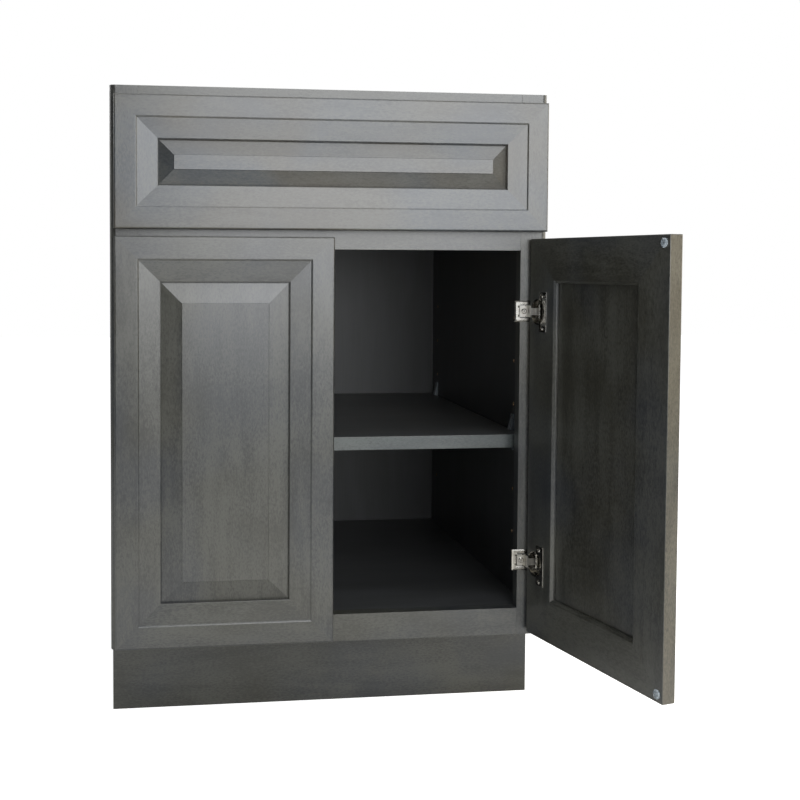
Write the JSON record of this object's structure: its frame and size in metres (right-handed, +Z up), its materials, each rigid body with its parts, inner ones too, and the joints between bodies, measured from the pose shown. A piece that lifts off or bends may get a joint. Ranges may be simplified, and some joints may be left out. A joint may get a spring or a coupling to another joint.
{
  "type": "kitchen base cabinet",
  "caption": "Face-frame kitchen base cabinet with a raised-panel drawer over two raised-panel butt doors, an adjustable shelf and a recessed toe kick.",
  "frame": {"origin": "on the floor, in the wall plane, in the middle of the width", "axes": "+X to the right seen from the front, +Y into the wall, +Z up"},
  "size_m": [0.6736, 0.9056, 0.8763],
  "materials": {
    "grey_stain": "satin grey stain over maple",
    "side_board": "satin grey veneer",
    "dark_interior": "dark grey laminate",
    "raw_wood": "unfinished",
    "drawer_birch": "clear lacquered birch",
    "nickel": "bright nickel plate",
    "zinc_steel": "zinc plate",
    "clear_plastic": "clear moulded"
  },
  "bodies": {
    "carcass": {"left_side_panel": "side_board", "right_side_panel": "side_board", "bottom_panel": "dark_interior", "back_panel": "dark_interior", "shelf": "dark_interior", "toe_kick_board": "grey_stain", "frame_left_stile": "grey_stain", "frame_right_stile": "grey_stain", "frame_top_rail": "grey_stain", "frame_middle_rail": "grey_stain", "frame_bottom_rail": "grey_stain", "rear_top_rail": "raw_wood", "rear_bottom_rail": "raw_wood", "corner_braces": "raw_wood", "slide_cleats": "raw_wood", "shelf_clips": "clear_plastic", "slide_cabinet_members": "zinc_steel", "left_hinge_bases": "nickel", "right_hinge_bases": "nickel", "left_hinge_arms": "nickel", "right_hinge_arms": "nickel", "hinge_base_screws": "nickel", "hinge_adjusting_screws": "nickel"},
    "drawer": {"drawer_front_left_stile": "grey_stain", "drawer_front_right_stile": "grey_stain", "drawer_front_top_rail": "grey_stain", "drawer_front_bottom_rail": "grey_stain", "drawer_front_panel": "grey_stain", "drawer_box_left_side": "drawer_birch", "drawer_box_right_side": "drawer_birch", "drawer_box_front": "drawer_birch", "drawer_box_back": "drawer_birch", "drawer_box_bottom": "drawer_birch", "slide_drawer_members": "zinc_steel", "drawer_front_screws": "zinc_steel", "drawer_bumpers": "clear_plastic"},
    "slide_middle": {"slide_middle_members": "zinc_steel"},
    "outer_cages": {"outer_ball_cages": "zinc_steel"},
    "inner_cages": {"inner_ball_cages": "zinc_steel"},
    "left_door": {"left_door_hinge_stile": "grey_stain", "left_door_meeting_stile": "grey_stain", "left_door_top_rail": "grey_stain", "left_door_bottom_rail": "grey_stain", "left_door_panel": "grey_stain", "left_door_upper_hinge_cup": "nickel", "left_door_lower_hinge_cup": "nickel", "left_door_hinge_pins": "nickel", "left_door_cup_screws": "nickel", "left_door_bumpers": "clear_plastic"},
    "right_door": {"right_door_hinge_stile": "grey_stain", "right_door_meeting_stile": "grey_stain", "right_door_top_rail": "grey_stain", "right_door_bottom_rail": "grey_stain", "right_door_panel": "grey_stain", "right_door_upper_hinge_cup": "nickel", "right_door_lower_hinge_cup": "nickel", "right_door_hinge_pins": "nickel", "right_door_cup_screws": "nickel", "right_door_bumpers": "clear_plastic"}
  },
  "joints": [
    {"name": "drawer_slide", "type": "slide", "parent": "carcass", "child": "drawer", "axis": [0, -1, 0], "range_m": [0, 0.5]},
    {"name": "slide_middle_travel", "type": "slide", "parent": "carcass", "child": "slide_middle", "axis": [0, -1, 0], "range_m": [0, 0.25]},
    {"name": "outer_cage_travel", "type": "slide", "parent": "carcass", "child": "outer_cages", "axis": [0, -1, 0], "range_m": [0, 0.125]},
    {"name": "inner_cage_travel", "type": "slide", "parent": "carcass", "child": "inner_cages", "axis": [0, -1, 0], "range_m": [0, 0.375]},
    {"name": "left_door_hinge", "type": "hinge", "parent": "carcass", "child": "left_door", "pos_m": [-0.29045, -0.6228, 0.3951], "axis": [0, 0, -1], "range_deg": [0, 104]},
    {"name": "right_door_hinge", "type": "hinge", "parent": "carcass", "child": "right_door", "pos_m": [0.29045, -0.6228, 0.3951], "axis": [0, 0, 1], "range_deg": [-104, 0]}
  ],
  "couplings": [
    {"joint": "slide_middle_travel", "follows": "drawer_slide", "ratio": 0.5},
    {"joint": "outer_cage_travel", "follows": "drawer_slide", "ratio": 0.25},
    {"joint": "inner_cage_travel", "follows": "drawer_slide", "ratio": 0.75}
  ]
}
